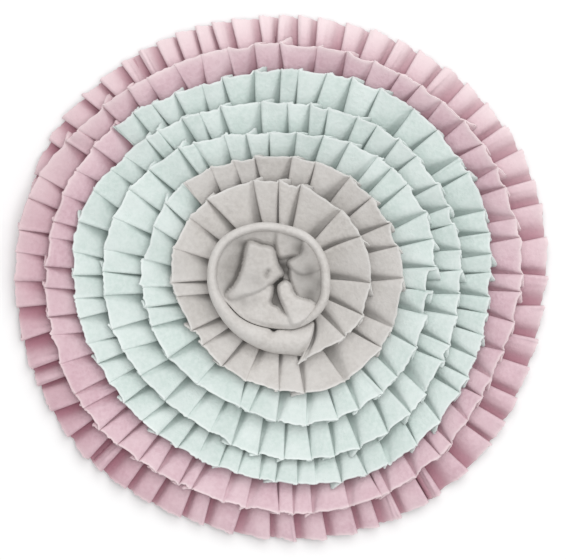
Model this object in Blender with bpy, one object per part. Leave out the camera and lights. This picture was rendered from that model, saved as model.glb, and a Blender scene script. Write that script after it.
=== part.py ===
"""Round snuffle mat: fleece strips joined end to end and sewn in one spiral on a round base cloth.

The strip starts as a smooth standing collar round a bunched heart. It then runs counterclockwise outward
as a knife-pleated frill, first grey, then mint, then pink, and every turn lies over the root of the next.
Tables and sizes are in millimetres and degrees. A heading is measured clockwise from +Y, and a turn is
the angle run counterclockwise since the collar's inner end. Height z is above the underside of the base.
"""

import math
import random
from typing import NamedTuple

import bmesh
import bpy
from mathutils import Vector

MM = 0.001
SEED = 38

CLOTH = 2.0
SEAM_GAP = 0.3
CENTRE_SHIFT = (1.22, -2.18)

BASE_RADIUS = 172.0
BASE_THICKNESS = 2.5
BASE_SIDES = 72

OVERLAP = 10.0  # how far an edge reaches over the root of the next turn
COLLAR_CLEARANCE = 5.0  # how far a root stays outside the collar's foot
TURN_RISE = 8.6  # height between one turn and the next, at the same place
ROOT_HEIGHT = 5.2
ROOT_PLEAT = 2.0
EDGE_PLEAT = 6.0
FULL_PLEAT_WIDTH = 18.0
EDGE_DIP = 1.6

COLLAR_FOOT_HEIGHT = 4.7
ROLL_DEPTH = 4.2
COLLAR_STEP = 12.0
COLLAR_OPENS = (338.0, 376.0)  # turns between which the folded collar opens into the frill

DROOP_STARTS = 286.0  # heading where the outermost turn begins to lie down
DROOP_LENGTH = 34.0
DROOP_ARCH = 7.4
DROOP_EDGE = 3.2

HEART_CLEARANCE = 5.0
HEART_RIM_HEIGHT = 20.0
HEART_FRONT = (200.0, 62.0, 8.0)  # heading, half breadth and rise of the fold that leans on the collar
HEART_SPOKES = 40


class CollarRow(NamedTuple):
    """The standing collar at one heading."""

    heading: float
    rim: float
    foot: float
    height: float
    roll: float


class Reach(NamedTuple):
    """A stretch of pleated strip that starts at this heading and runs to the next row's."""

    heading: float
    edge: float
    folds: int


class Lobe(NamedTuple):
    """A rounded lobe of the heart: its middle, length, width, direction of its length and top height."""

    x: float
    y: float
    length: float
    width: float
    direction: float
    height: float


COLLAR = (
    CollarRow(165, 35.8, 25.5, 31, 7.5),
    CollarRow(150, 35.8, 25.5, 33, 7.5),
    CollarRow(120, 35.8, 26.0, 36, 7.5),
    CollarRow(90, 34.3, 26.0, 37, 7.5),
    CollarRow(60, 35.8, 26.0, 37, 7.5),
    CollarRow(30, 38.6, 27.0, 37, 7.5),
    CollarRow(0, 40.8, 28.0, 37, 7.5),
    CollarRow(330, 47.2, 30.5, 36, 7.5),
    CollarRow(300, 54.4, 33.0, 35, 7.5),
    CollarRow(270, 54.4, 34.5, 34, 8.0),
    CollarRow(240, 52.2, 34.0, 32, 11.0),
    CollarRow(210, 51.5, 33.0, 29, 13.5),
    CollarRow(180, 53.0, 32.0, 26, 14.5),
    CollarRow(165, 54.6, 31.5, 24, 14.5),
)

GREY = (
    Reach(150, 56.5, 2),
    Reach(115, 61.5, 2),
    Reach(56, 63.7, 3),
    Reach(358, 71.6, 2),
    Reach(320, 78.7, 2),
    Reach(288, 81.6, 3),
    Reach(242, 73.7, 3),
    Reach(201, 75.9, 3),
    Reach(152, 83.7, 3),
    Reach(92, 85.2, 4),
    Reach(32, 87.3, 3),
    Reach(349, 90.2, 3),
)

MINT = (
    Reach(312.7, 99.5, 3),
    Reach(278.5, 100.2, 3),
    Reach(250.4, 99.5, 3),
    Reach(202.7, 94.5, 3),
    Reach(168.5, 104.5, 3),
    Reach(139.6, 106.6, 3),
    Reach(104.2, 105.9, 4),
    Reach(66.2, 112.3, 3),
    Reach(37.9, 111.6, 4),
    Reach(355, 105.9, 4),
    Reach(322.5, 120.2, 3),
    Reach(290.4, 129.5, 4),
    Reach(255.4, 126.7, 4),
    Reach(215.4, 118.8, 5),
    Reach(171.5, 129.5, 4),
    Reach(136.5, 131.0, 4),
    Reach(102.7, 126.0, 4),
    Reach(72, 128.8, 4),
    Reach(40.8, 130.2, 4),
    Reach(10.8, 126.7, 3),
    Reach(341.2, 131.7, 5),
    Reach(309.6, 143.8, 3),
    Reach(286.5, 151.7, 5),
    Reach(252.3, 146.0, 5),
    Reach(218.8, 141.0, 5),
    Reach(187.7, 141.7, 5),
    Reach(157.9, 150.3, 4),
    Reach(123.3, 148.8, 5),
    Reach(94.8, 147.4, 4),
    Reach(70, 152.4, 4),
    Reach(38, 153.9, 4),
    Reach(5, 151.0, 4),
    Reach(337, 151.7, 4),
)

PINK = (
    Reach(312.3, 163.9, 3),
    Reach(292.1, 168.9, 4),
    Reach(268, 169.6, 5),
    Reach(237.3, 168.9, 5),
    Reach(207.7, 162.4, 5),
    Reach(178, 166.0, 5),
    Reach(145.8, 168.2, 5),
    Reach(114.8, 163.9, 5),
    Reach(80.2, 171.7, 5),
    Reach(49, 171.7, 5),
    Reach(17, 168.9, 4),
    Reach(347.3, 170.3, 5),
    Reach(314.6, 178.2, 4),
    Reach(288, 191.1, 5),
    Reach(258.5, 191.1, 5),
    Reach(228.8, 188.9, 5),
    Reach(199.2, 183.9, 5),
    Reach(163.8, 187.5, 5),
    Reach(136.5, 189.6, 5),
    Reach(103.5, 186.8, 5),
    Reach(67.5, 193.9, 5),
    Reach(37, 191.8, 5),
    Reach(8.5, 189.6, 5),
    Reach(345.4, 191.1, 5),
    Reach(323.8, 193.9, 4),
    Reach(301, 195.2, 2),
)
STRIP_END = Reach(290, 191.6, 0)

LOBES = (
    Lobe(-19.0, 6.5, 46, 32, 61, 37),
    Lobe(1.0, 25.0, 21, 18, 80, 29),
    Lobe(18.0, 14.5, 32, 25, 22, 34),
    Lobe(17.5, -4.0, 24, 19, -20, 28),
    Lobe(9.5, -11.5, 34, 14, -48, 34),
    Lobe(-8.0, -24.0, 54, 28, -13, 32),
    Lobe(-8.5, -13.0, 24, 18, 70, 31),
    Lobe(-15.0, 31.0, 24, 14, 8, 26),
)
HEART_FLOOR = 20.0
HEART_SHEET = 3.0  # measured upright, as its lobes are steep


class Profile(NamedTuple):
    """One point of the pleat's repeat.

    rise is its part of the pleat's height, sink and shift place the underside in cloth thicknesses
    below it and clockwise of it, and dip is its part of the edge's dip towards the centre.
    """

    part: float
    rise: float
    sink: float
    shift: float
    dip: float


GROOVE = Profile(0.07, 0.0, 1.2, 0.0, 1.0)
SHOULDER = Profile(0.36, 0.86, 1.0, -0.5, 0.5)
FOLD = Profile(1.0, 1.0, 1.1, 1.1, 0.0)
SMOOTH = Profile(1.0, 0.0, 1.0, 0.0, 0.0)


class Column(NamedTuple):
    """A line across the strip from its root to its edge, at one turn."""

    turn: float
    profile: Profile
    lift: float
    lean: float


def smooth_step(value):
    """0 below 0, 1 above 1, and an even S curve between."""
    value = min(1.0, max(0.0, value))
    return value * value * (3 - 2 * value)


def blend(first, second, part):
    return first + (second - first) * part


class Curve:
    """A smooth line through values at rising places."""

    def __init__(self, places, values):
        self.places = list(places)
        self.values = list(values)
        self.slopes = [self.slope(i) for i in range(len(self.places))]

    def slope(self, i):
        low = max(0, i - 1)
        high = min(len(self.places) - 1, i + 1)
        return (self.values[high] - self.values[low]) / (self.places[high] - self.places[low])

    def at(self, place):
        place = min(self.places[-1], max(self.places[0], place))
        i = 0
        while i < len(self.places) - 2 and place > self.places[i + 1]:
            i += 1
        span = self.places[i + 1] - self.places[i]
        u = (place - self.places[i]) / span
        return (
            self.values[i] * (1 + 2 * u) * (1 - u) ** 2
            + self.values[i + 1] * u * u * (3 - 2 * u)
            + span * self.slopes[i] * u * (1 - u) ** 2
            - span * self.slopes[i + 1] * u * u * (1 - u)
        )


def turns_of(rows, start=0.0):
    """The turn of each row, from their headings."""
    turns = [start]
    for before, row in zip(rows, rows[1:]):
        turns.append(turns[-1] + (before.heading - row.heading) % 360)
    return turns


ALL_ROWS = COLLAR + GREY + MINT + PINK + (STRIP_END,)
ALL_TURNS = turns_of(ALL_ROWS)
GREY_TURN = ALL_TURNS[len(COLLAR)]
DROOP_TURN = ALL_TURNS[-1] - 360 - (DROOP_STARTS - STRIP_END.heading)
EDGE = Curve(ALL_TURNS, [row[1] for row in ALL_ROWS])
FOOT = Curve(ALL_TURNS[: len(COLLAR)], [row.foot for row in COLLAR])
HEIGHT = Curve(ALL_TURNS[: len(COLLAR)], [row.height for row in COLLAR])
ROLL = Curve(ALL_TURNS[: len(COLLAR)], [row.roll for row in COLLAR])


def collar_section(turn):
    """The collar's inner face from its foot, up the wall and over the folded rim, as (radius, z)."""
    rim = EDGE.at(turn) - CLOTH
    foot = FOOT.at(turn)
    top = HEIGHT.at(turn) - CLOTH
    roll = ROLL.at(turn) - 2 * CLOTH
    depth = ROLL_DEPTH + 0.25 * roll
    return (
        (foot, COLLAR_FOOT_HEIGHT),
        (blend(foot, rim, 0.62), blend(COLLAR_FOOT_HEIGHT, top, 0.48)),
        (rim, top - depth * 0.7),
        (rim - roll * 0.5, top),
        (rim - roll, top - depth * 0.8),
    )


def frill_width(turn):
    """How far the frill reaches out from its root."""
    inner_turn = turn - 360
    root = EDGE.at(inner_turn) - OVERLAP
    if inner_turn < COLLAR_OPENS[1]:
        root = max(root, FOOT.at(inner_turn) + COLLAR_CLEARANCE)
    return EDGE.at(turn) - root


def frill_section(turn, parts):
    """The floor of the pleats from root to edge, as (radius, z), at these parts of the width."""
    width = frill_width(turn)
    root = EDGE.at(turn) - width
    rise = TURN_RISE * width / max(6.0, width - OVERLAP)
    droop = smooth_step((turn - DROOP_TURN) / DROOP_LENGTH)
    section = []
    for part in parts:
        if part < 0.6:
            lying = blend(ROOT_HEIGHT, DROOP_ARCH, part / 0.6)
        else:
            lying = blend(DROOP_ARCH, DROOP_EDGE, (part - 0.6) / 0.4)
        z = blend(ROOT_HEIGHT + rise * part, lying, droop)
        section.append((root + width * part, z))
    return section


def opening_section(turn, parts, opened):
    """The section where the folded collar opens: each side of it swings from the roll to the frill."""
    rolled = collar_section(turn)
    flat = frill_section(turn, parts)
    points = [Vector(rolled[0]).lerp(Vector(flat[0]), opened)]
    for i in range(len(parts) - 1):
        first = Vector(rolled[i + 1]) - Vector(rolled[i])
        last = Vector(flat[i + 1]) - Vector(flat[i])
        swing = math.atan2(first.y, first.x) % math.tau
        swing = blend(swing, math.atan2(last.y, last.x), opened)
        length = blend(first.length, last.length, opened)
        points.append(points[-1] + Vector((math.cos(swing), math.sin(swing))) * length)
    foot = points[0]
    reach = blend(max(point[0] for point in rolled), flat[-1][0], opened) - foot.x
    top = blend(max(point[1] for point in rolled), flat[-1][1], opened) - foot.y
    wide = reach / max(point.x - foot.x for point in points)
    tall = top / max(point.y - foot.y for point in points)
    return [(foot.x + (p.x - foot.x) * wide, foot.y + (p.y - foot.y) * tall) for p in points]


def normals_of(section):
    """Upward normal of a section at each of its points, lengthened where it bends."""
    sides = []
    for before, after in zip(section, section[1:]):
        along = Vector((after[0] - before[0], after[1] - before[1])).normalized()
        sides.append(Vector((-along.y, along.x)))
    normals = []
    for first, second in zip([sides[0]] + sides, sides + [sides[-1]]):
        middle = (first + second).normalized()
        normals.append(middle / max(0.72, middle.dot(first)))
    return normals


def place(turn, radius, z):
    """The point at this turn, in metres."""
    heading = math.radians(COLLAR[0].heading - turn)
    x = radius * math.sin(heading) + CENTRE_SHIFT[0]
    y = radius * math.cos(heading) + CENTRE_SHIFT[1]
    return Vector((x, y, z)) * MM


def column_points(column, parts):
    """Top and under points of one column, from root to edge."""
    turn = column.turn
    opened = smooth_step((turn - COLLAR_OPENS[0]) / (COLLAR_OPENS[1] - COLLAR_OPENS[0]))
    if opened == 0:
        section = collar_section(turn)
    elif opened == 1:
        section = frill_section(turn, parts)
    else:
        section = opening_section(turn, parts, opened)
    pleat = opened * min(1.0, frill_width(turn) / FULL_PLEAT_WIDTH)
    profile = column.profile
    top = []
    under = []
    for (radius, z), normal, part in zip(section, normals_of(section), parts):
        height = blend(ROOT_PLEAT, EDGE_PLEAT, part) * pleat
        at = turn + column.lean * part * opened
        radius -= profile.dip * EDGE_DIP * part * part * opened
        z += height * profile.rise + column.lift * part * opened
        sink = CLOTH * blend(1.0, profile.sink, opened)
        shift = math.degrees(CLOTH * profile.shift * opened / radius)
        top.append(place(at, radius, z))
        under.append(place(at - shift, radius - normal.x * sink, z - normal.y * sink))
    return top, under


def strip_columns(rows, turns, rng):
    """The columns of the pleats, fold by fold; a row's start is itself a fold."""
    columns = []
    before = turns[0]
    for row, start, end in zip(rows, turns, turns[1:]):
        pitch = (end - start) / row.folds
        for fold in range(1, row.folds + 1):
            crease = start + fold * pitch
            if fold < row.folds:
                crease += pitch * rng.uniform(-0.14, 0.14)
            step = crease - before
            lift = rng.uniform(-0.5, 0.5)
            lean = step * rng.uniform(-0.10, 0.10)
            for profile in (GROOVE, SHOULDER, FOLD):
                turn = before + step * profile.part
                columns.append(Column(turn, profile, lift, lean))
            before = crease
    return columns


def sheet_object(name, columns, parts, slot):
    """A closed sheet through the columns, with its top, underside, edges and ends."""
    bm = bmesh.new()
    tops = []
    unders = []
    for column in columns:
        top, under = column_points(column, parts)
        tops.append([bm.verts.new(point) for point in top])
        unders.append([bm.verts.new(point) for point in under])
    last = len(parts) - 1
    for i in range(len(columns) - 1):
        for j in range(last):
            bm.faces.new((tops[i][j], tops[i][j + 1], tops[i + 1][j + 1], tops[i + 1][j]))
            bm.faces.new((unders[i][j], unders[i + 1][j], unders[i + 1][j + 1], unders[i][j + 1]))
        bm.faces.new((tops[i][0], tops[i + 1][0], unders[i + 1][0], unders[i][0]))
        bm.faces.new((tops[i][last], unders[i][last], unders[i + 1][last], tops[i + 1][last]))
    for j in range(last):
        bm.faces.new((tops[0][j], unders[0][j], unders[0][j + 1], tops[0][j + 1]))
        bm.faces.new((tops[-1][j], tops[-1][j + 1], unders[-1][j + 1], unders[-1][j]))
    return finish(name, bm, slot)


def finish(name, bm, slot):
    """Turn the faces outward and link the object with its material."""
    bmesh.ops.triangulate(bm, faces=bm.faces, quad_method="SHORT_EDGE")
    bmesh.ops.recalc_face_normals(bm, faces=bm.faces)
    mesh = bpy.data.meshes.new(name)
    bm.to_mesh(mesh)
    bm.free()
    mesh.materials.append(slot)
    obj = bpy.data.objects.new(name, mesh)
    bpy.context.scene.collection.objects.link(obj)
    return obj


def fleece(name, colour, roughness=0.95):
    """A plain cloth material."""
    slot = bpy.data.materials.new(name)
    slot.use_nodes = True
    shader = slot.node_tree.nodes["Principled BSDF"]
    shader.inputs["Base Color"].default_value = (*colour, 1.0)
    shader.inputs["Roughness"].default_value = roughness
    shader.inputs["Metallic"].default_value = 0.0
    slot.diffuse_color = (*colour, 1.0)
    return slot


def lobe_height(lobe, x, y):
    """How high this lobe stands over the point, or the heart's floor."""
    angle = math.radians(lobe.direction)
    dx = x - lobe.x
    dy = y - lobe.y
    along = (dx * math.cos(angle) + dy * math.sin(angle)) / (lobe.length / 2)
    across = (dy * math.cos(angle) - dx * math.sin(angle)) / (lobe.width / 2)
    out = math.hypot(along, across)
    if out >= 1:
        return HEART_FLOOR
    return blend(HEART_FLOOR, lobe.height, (1 - out**2.4) ** 0.7)


def heart_outline(turn):
    """Radii of the heart's foot and shoulder, which stay inside the collar and close on themselves."""
    closing = smooth_step((turn - 340) / 20)
    foot = blend(FOOT.at(turn), FOOT.at(0), closing)
    wall = blend(EDGE.at(turn), EDGE.at(0), closing) - CLOTH
    lip = blend(EDGE.at(turn) - ROLL.at(turn), EDGE.at(0) - ROLL.at(0), closing)
    return foot - HEART_CLEARANCE, min(blend(foot, wall, 0.6) - 2.0, lip - 2.2)


def heart_shoulder_height(turn):
    """Height of the heart's shoulder, which rises where its broad fold leans on the collar."""
    heading, breadth, rise = HEART_FRONT
    off = (COLLAR[0].heading - turn - heading + 180) % 360 - 180
    return HEART_RIM_HEIGHT + rise * smooth_step(1 - abs(off) / breadth)


def heart_object(slot):
    """The bunched heart: a sheet over the lobes, drawn in to a foot inside the collar."""
    parts = (0.16, 0.33, 0.5, 0.66, 0.82, 1.0)
    bm = bmesh.new()
    shells = ([], [])
    for shell, drop in zip(shells, (0.0, HEART_SHEET)):
        for part in parts:
            ring = []
            for spoke in range(HEART_SPOKES):
                turn = 360 * spoke / HEART_SPOKES
                rim = heart_outline(turn)[1]
                point = place(turn, rim * part, 0) / MM
                z = max(lobe_height(lobe, point.x, point.y) for lobe in LOBES)
                end = smooth_step((part - 0.8) / 0.2)
                z = blend(z, heart_shoulder_height(turn), end)
                ring.append(bm.verts.new(place(turn, rim * part - 1.4 * drop * end, z - drop)))
            shell.append(ring)
        foot_ring = []
        for spoke in range(HEART_SPOKES):
            turn = 360 * spoke / HEART_SPOKES
            foot = heart_outline(turn)[0] - 0.8 * drop
            foot_ring.append(bm.verts.new(place(turn, foot, BASE_THICKNESS + SEAM_GAP)))
        shell.append(foot_ring)
        middle = max(lobe_height(lobe, 0, 0) for lobe in LOBES) - drop
        centre = bm.verts.new(place(0, 0, middle))
        for i in range(HEART_SPOKES):
            k = (i + 1) % HEART_SPOKES
            bm.faces.new((centre, shell[0][i], shell[0][k]))
            for inner, outer in zip(shell, shell[1:]):
                bm.faces.new((inner[i], outer[i], outer[k], inner[k]))
    for i in range(HEART_SPOKES):
        k = (i + 1) % HEART_SPOKES
        bm.faces.new((shells[0][-1][i], shells[1][-1][i], shells[1][-1][k], shells[0][-1][k]))
    return finish("heart", bm, slot)


def base_object(slot):
    """The round base cloth, with a softened edge."""
    bm = bmesh.new()
    made = bmesh.ops.create_cone(
        bm,
        cap_ends=True,
        segments=BASE_SIDES,
        radius1=BASE_RADIUS * MM,
        radius2=BASE_RADIUS * MM,
        depth=BASE_THICKNESS * MM,
    )
    middle = Vector((CENTRE_SHIFT[0], CENTRE_SHIFT[1], BASE_THICKNESS / 2)) * MM
    bmesh.ops.translate(bm, verts=made["verts"], vec=middle)
    top = max(vert.co.z for vert in bm.verts)
    rim = [edge for edge in bm.edges if all(vert.co.z > top - 1e-6 for vert in edge.verts)]
    bmesh.ops.bevel(
        bm, geom=rim, offset=1.0 * MM, segments=1, profile=0.5, affect="EDGES", material=-1
    )
    return finish("base", bm, slot)


def main():
    for obj in list(bpy.data.objects):
        bpy.data.objects.remove(obj)
    rng = random.Random(SEED)
    grey = fleece("grey_fleece", (0.55, 0.53, 0.51))
    mint = fleece("mint_fleece", (0.62, 0.72, 0.68))
    pink = fleece("pink_fleece", (0.66, 0.47, 0.51))
    backing = fleece("base_cloth", (0.60, 0.58, 0.56), 0.9)

    collar_parts = (0.0, 0.36, 0.62, 0.84, 1.0)
    frill_parts = (0.0, 0.6, 1.0)
    smooth = []
    steps = round(GREY_TURN / COLLAR_STEP)
    for step in range(steps + 1):
        smooth.append(Column(GREY_TURN * step / steps, SMOOTH, 0.0, 0.0))
    grey_end = len(COLLAR) + len(GREY) + 1
    mint_end = grey_end + len(MINT)
    strips = (
        ("strip_grey", GREY, ALL_TURNS[len(COLLAR) : grey_end], collar_parts, grey),
        ("strip_mint", MINT, ALL_TURNS[grey_end - 1 : mint_end], frill_parts, mint),
        ("strip_pink", PINK, ALL_TURNS[mint_end - 1 :], frill_parts, pink),
    )
    before = smooth
    for name, rows, turns, parts, slot in strips:
        columns = before + strip_columns(rows, turns, rng)
        sheet_object(name, columns, parts, slot)
        gap = math.degrees(SEAM_GAP * 2 / EDGE.at(turns[-1]))
        before = [columns[-1]._replace(turn=turns[-1] + gap)]
    heart_object(grey)
    base_object(backing)


if __name__ == "__main__":
    main()
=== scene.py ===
"""Round fleece snuffle mat, dressed: pleated fleece strips, the bunched heart and the base cloth.

Sizes are in millimetres and degrees and are turned into metres where points are placed. A heading is
measured clockwise from +Y, and a turn is the angle run counterclockwise since the collar's inner end.
"""

import logging
import math
import random
from dataclasses import dataclass, field
from typing import NamedTuple, TypeVar

import bmesh
import bpy
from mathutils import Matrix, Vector, noise


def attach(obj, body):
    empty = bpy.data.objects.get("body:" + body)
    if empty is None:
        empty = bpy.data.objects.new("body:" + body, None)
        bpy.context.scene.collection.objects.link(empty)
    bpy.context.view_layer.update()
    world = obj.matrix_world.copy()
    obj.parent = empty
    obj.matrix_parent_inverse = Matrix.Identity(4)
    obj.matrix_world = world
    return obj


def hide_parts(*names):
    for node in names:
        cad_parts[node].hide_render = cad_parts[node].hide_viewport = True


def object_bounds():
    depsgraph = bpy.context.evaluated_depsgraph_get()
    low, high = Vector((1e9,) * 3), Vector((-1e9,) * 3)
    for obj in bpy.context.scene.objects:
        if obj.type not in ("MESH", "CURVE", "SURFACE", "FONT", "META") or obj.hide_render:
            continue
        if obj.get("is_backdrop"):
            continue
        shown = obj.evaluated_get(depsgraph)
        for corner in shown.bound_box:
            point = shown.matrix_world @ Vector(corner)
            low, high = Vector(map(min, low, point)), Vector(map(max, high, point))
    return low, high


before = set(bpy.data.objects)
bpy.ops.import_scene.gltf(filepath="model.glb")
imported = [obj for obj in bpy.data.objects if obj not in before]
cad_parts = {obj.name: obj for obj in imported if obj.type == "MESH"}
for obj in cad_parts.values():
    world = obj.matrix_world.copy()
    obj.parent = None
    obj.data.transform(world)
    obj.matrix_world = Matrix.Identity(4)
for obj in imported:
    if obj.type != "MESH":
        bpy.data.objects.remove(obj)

CAD_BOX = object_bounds()
LOG = logging.getLogger("snuffle_mat")
MM = 0.001
SEED = 38
Point = tuple[float, float]
Colour = tuple[float, float, float]
Link = bpy.types.NodeSocket
Value = TypeVar("Value", float, Vector)


Row = TypeVar("Row")


def rows_of(kind: type[Row], *rows: tuple[float, ...]) -> tuple[Row, ...]:
    """A table's rows, each as a thing of this kind."""
    return tuple(kind(*row) for row in rows)


class CollarRow(NamedTuple):
    """The standing collar at one heading."""

    heading: float
    rim: float
    foot: float
    height: float
    roll: float


class Reach(NamedTuple):
    """A stretch of pleated strip that starts at this heading and runs to the next row's."""

    heading: float
    edge: float
    folds: int


COLLAR = rows_of(
    CollarRow,
    (165, 35.8, 25.5, 31, 7.5), (150, 35.8, 25.5, 33, 7.5),
    (120, 35.8, 26.0, 36, 7.5), (90, 34.3, 26.0, 37, 7.5),
    (60, 35.8, 26.0, 37, 7.5), (30, 38.6, 27.0, 37, 7.5),
    (0, 40.8, 28.0, 37, 7.5), (330, 47.2, 30.5, 36, 7.5),
    (300, 54.4, 33.0, 35, 7.5), (270, 54.4, 34.5, 34, 8.0),
    (240, 52.2, 34.0, 32, 11.0), (210, 51.5, 33.0, 29, 13.5),
    (180, 53.0, 32.0, 26, 14.5), (165, 54.6, 31.5, 24, 14.5),
)

GREY = rows_of(
    Reach,
    (150, 56.5, 2), (115, 61.5, 2), (56, 63.7, 3), (358, 71.6, 2), (320, 78.7, 2),
    (288, 81.6, 3), (242, 73.7, 3), (201, 75.9, 3), (152, 83.7, 3), (92, 85.2, 4),
    (32, 87.3, 3), (349, 90.2, 3),
)

MINT = rows_of(
    Reach,
    (312.7, 99.5, 3), (278.5, 100.2, 3), (250.4, 99.5, 3), (202.7, 94.5, 3), (168.5, 104.5, 3),
    (139.6, 106.6, 3), (104.2, 105.9, 4), (66.2, 112.3, 3), (37.9, 111.6, 4), (355, 105.9, 4),
    (322.5, 120.2, 3), (290.4, 129.5, 4), (255.4, 126.7, 4), (215.4, 118.8, 5), (171.5, 129.5, 4),
    (136.5, 131.0, 4), (102.7, 126.0, 4), (72, 128.8, 4), (40.8, 130.2, 4), (10.8, 126.7, 3),
    (341.2, 131.7, 5), (309.6, 143.8, 3), (286.5, 151.7, 5), (252.3, 146.0, 5), (218.8, 141.0, 5),
    (187.7, 141.7, 5), (157.9, 150.3, 4), (123.3, 148.8, 5), (94.8, 147.4, 4), (70, 152.4, 4),
    (38, 153.9, 4), (5, 151.0, 4), (337, 151.7, 4),
)

PINK = rows_of(
    Reach,
    (312.3, 163.9, 3), (292.1, 168.9, 4), (268, 169.6, 5), (237.3, 168.9, 5), (207.7, 162.4, 5),
    (178, 166.0, 5), (145.8, 168.2, 5), (114.8, 163.9, 5), (80.2, 171.7, 5), (49, 171.7, 5),
    (17, 168.9, 4), (347.3, 170.3, 5), (314.6, 178.2, 4), (288, 191.1, 5), (258.5, 191.1, 5),
    (228.8, 188.9, 5), (199.2, 183.9, 5), (163.8, 187.5, 5), (136.5, 189.6, 5), (103.5, 186.8, 5),
    (67.5, 193.9, 5), (37, 191.8, 5), (8.5, 189.6, 5), (345.4, 191.1, 5), (323.8, 193.9, 4),
    (301, 195.2, 2),
)
STRIP_END = Reach(290, 191.6, 0)


def smooth_step(value: float) -> float:
    """0 below 0, 1 above 1, and an even S curve between."""
    value = min(1.0, max(0.0, value))
    return value * value * (3 - 2 * value)


def blend(first: float, second: float, part: float) -> float:
    """The value this part of the way from first to second."""
    return first + (second - first) * part


def along_curve(first: Value, last: Value, leaving: Value, arriving: Value, part: float) -> Value:
    """The value this part of the way along a smooth curve.

    Args:
        first: the value at its start.
        last: the value at its end.
        leaving: the slope at its start.
        arriving: the slope at its end.
        part: how far along, from 0 to 1.

    Returns:
        The value there.
    """
    back = (1 - part) ** 2
    return (
        first * ((1 + 2 * part) * back)
        + last * (part * part * (3 - 2 * part))
        + leaving * (part * back)
        - arriving * (part * part * (1 - part))
    )


class Ease(NamedTuple):
    """An even change from 0 to 1, which starts at this place and takes this length."""

    start: float
    length: float

    def at(self, place: float) -> float:
        """How far the change has come at a place."""
        return smooth_step((place - self.start) / self.length)


@dataclass
class Curve:
    """A smooth line through values at rising places."""

    places: list[float]
    values: list[float]
    slopes: list[float] = field(init=False)

    def __post_init__(self) -> None:
        """Work out the slope at each knot."""
        last = len(self.places) - 1
        self.slopes = []
        for i in range(len(self.places)):
            low = max(0, i - 1)
            high = min(last, i + 1)
            rise = self.values[high] - self.values[low]
            self.slopes.append(rise / (self.places[high] - self.places[low]))

    def at(self, place: float) -> float:
        """The curve's value at a place.

        Args:
            place: where to read it; beyond the ends it keeps the end's value.

        Returns:
            The value there.
        """
        place = min(self.places[-1], max(self.places[0], place))
        i = 0
        while i < len(self.places) - 2 and place > self.places[i + 1]:
            i += 1
        span = self.places[i + 1] - self.places[i]
        part = (place - self.places[i]) / span
        first, last = self.values[i : i + 2]
        leaving, arriving = self.slopes[i : i + 2]
        return along_curve(first, last, span * leaving, span * arriving, part)


def smooth_line(points: list[Vector], part: float) -> Vector:
    """A point on the smooth line through these points.

    Args:
        points: the points it passes through.
        part: how far along, from 0 to 1, in equal steps from point to point.

    Returns:
        The point there.
    """
    place = part * (len(points) - 1)
    i = min(int(place), len(points) - 2)
    before = points[i - 1] if i > 0 else points[0] * 2 - points[1]
    after = points[i + 2] if i + 2 < len(points) else points[-1] * 2 - points[-2]
    first, last = points[i : i + 2]
    return along_curve(first, last, (last - before) / 2, (after - first) / 2, place - i)


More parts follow.
